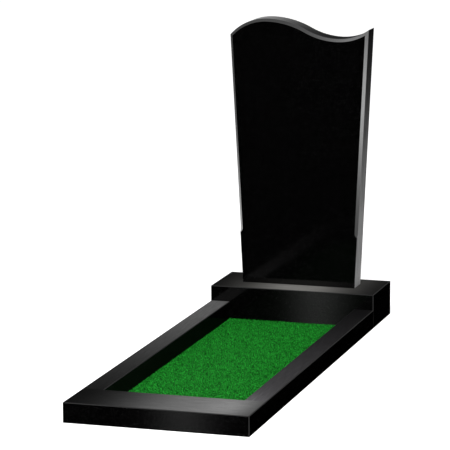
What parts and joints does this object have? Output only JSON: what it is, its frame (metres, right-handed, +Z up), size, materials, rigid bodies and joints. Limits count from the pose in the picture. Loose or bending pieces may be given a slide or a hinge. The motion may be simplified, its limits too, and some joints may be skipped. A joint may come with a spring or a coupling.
{
  "type": "upright headstone",
  "caption": "Upright black granite headstone with a wave top, on a plinth with a low kerb frame round a bed of short turf.",
  "frame": {"origin": "at ground level, under the middle of the whole footprint of plinth and kerb frame", "axes": "+Z up; the headstone's face and the kerb frame look towards -Y; +X is to the right of a person facing the headstone"},
  "size_m": [0.6, 1.75, 1.074],
  "materials": {
    "headstone_granite": "mirror-polished black granite, with honed edges and top",
    "base_granite": "polished black granite",
    "turf": "short artificial grass"
  },
  "bodies": {
    "root": {"stele": "headstone_granite", "plinth": "base_granite", "front_kerb": "base_granite", "left_kerb": "base_granite", "right_kerb": "base_granite", "turf": "turf"}
  },
  "joints": []
}
